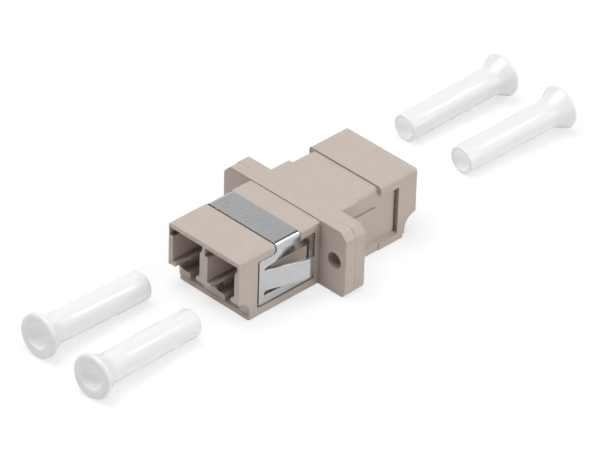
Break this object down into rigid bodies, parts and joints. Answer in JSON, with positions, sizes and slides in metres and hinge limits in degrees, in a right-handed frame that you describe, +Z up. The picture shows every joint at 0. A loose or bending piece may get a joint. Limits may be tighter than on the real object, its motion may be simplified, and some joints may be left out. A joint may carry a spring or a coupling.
{
  "type": "duplex fibre optic adapter",
  "caption": "Flanged duplex LC fibre adapter with a spring-steel panel clip, split alignment sleeves and dust caps taken off beside it.",
  "frame": {"origin": "bottom centre of the flange, in the plane where the two moulded halves meet", "axes": "+X across the two ports, +Y from the clip end to the plain end, +Z up"},
  "size_m": [0.0224, 0.0875, 0.0097],
  "materials": {
    "housing": "moulded beige plastic, fine satin",
    "clip": "rolled and brushed spring steel",
    "sleeve": "ground white zirconia",
    "dust_cap": "soft white moulded plastic, slightly glossy"
  },
  "bodies": {
    "root": {"front_housing": "housing", "rear_housing": "housing", "panel_clip": "clip", "split_sleeve_left": "sleeve", "split_sleeve_right": "sleeve", "dust_cap_front_left": "dust_cap", "dust_cap_front_right": "dust_cap", "dust_cap_rear_left": "dust_cap", "dust_cap_rear_right": "dust_cap"}
  },
  "joints": []
}
